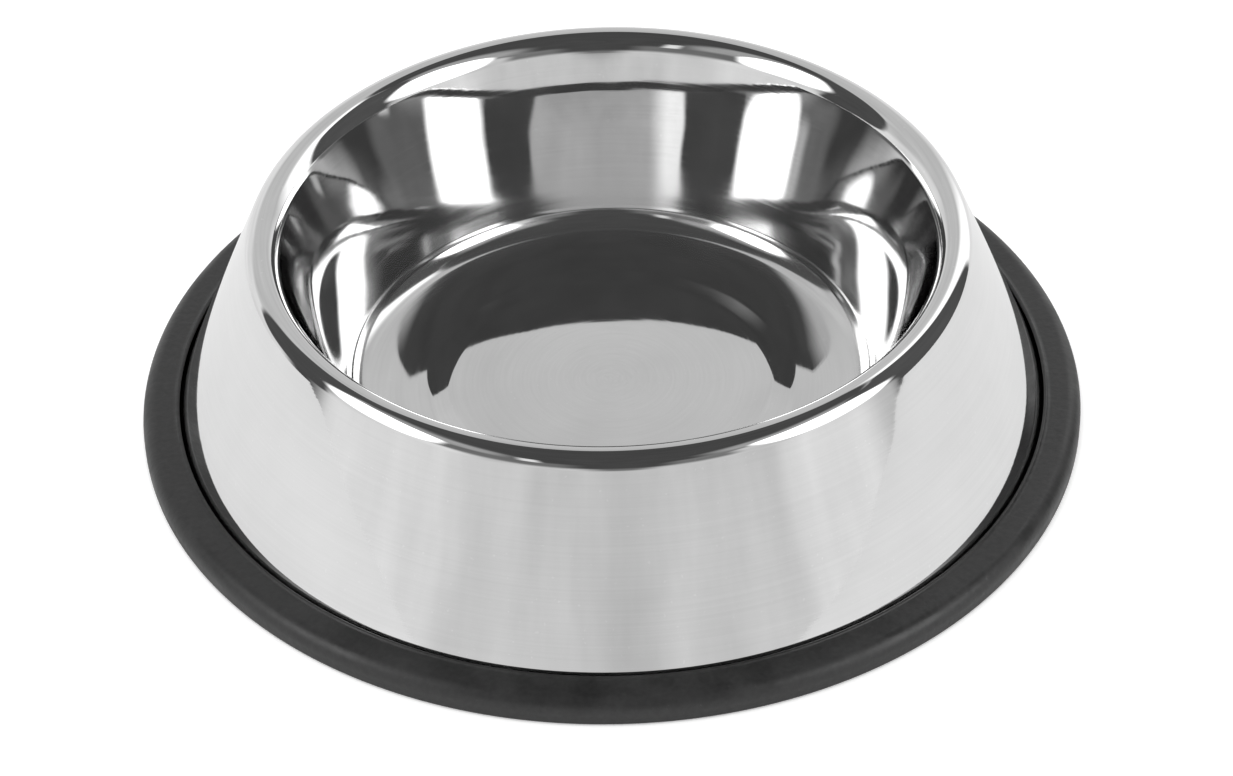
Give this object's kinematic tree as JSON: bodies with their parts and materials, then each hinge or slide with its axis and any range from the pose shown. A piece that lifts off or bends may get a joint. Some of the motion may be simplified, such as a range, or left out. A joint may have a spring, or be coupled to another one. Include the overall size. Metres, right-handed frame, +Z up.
{
  "type": "non-tip dog bowl",
  "caption": "Round polished stainless steel dog bowl with a rolled rim, a flared cone skirt and a black rubber ring around its foot.",
  "frame": {"origin": "centre of the ring's underside, on the floor that the bowl stands on", "axes": "+Z up along the axis of the bowl; the bowl is the same all round, so +X and +Y are any two directions square to it"},
  "size_m": [0.26, 0.26, 0.0595],
  "materials": {
    "polished_steel": "mirror polished",
    "black_rubber": "matt moulded",
    "set_adhesive": "matt"
  },
  "bodies": {
    "root": {"steel_bowl": "polished_steel", "rubber_ring": "black_rubber", "adhesive_bead": "set_adhesive"}
  },
  "joints": []
}
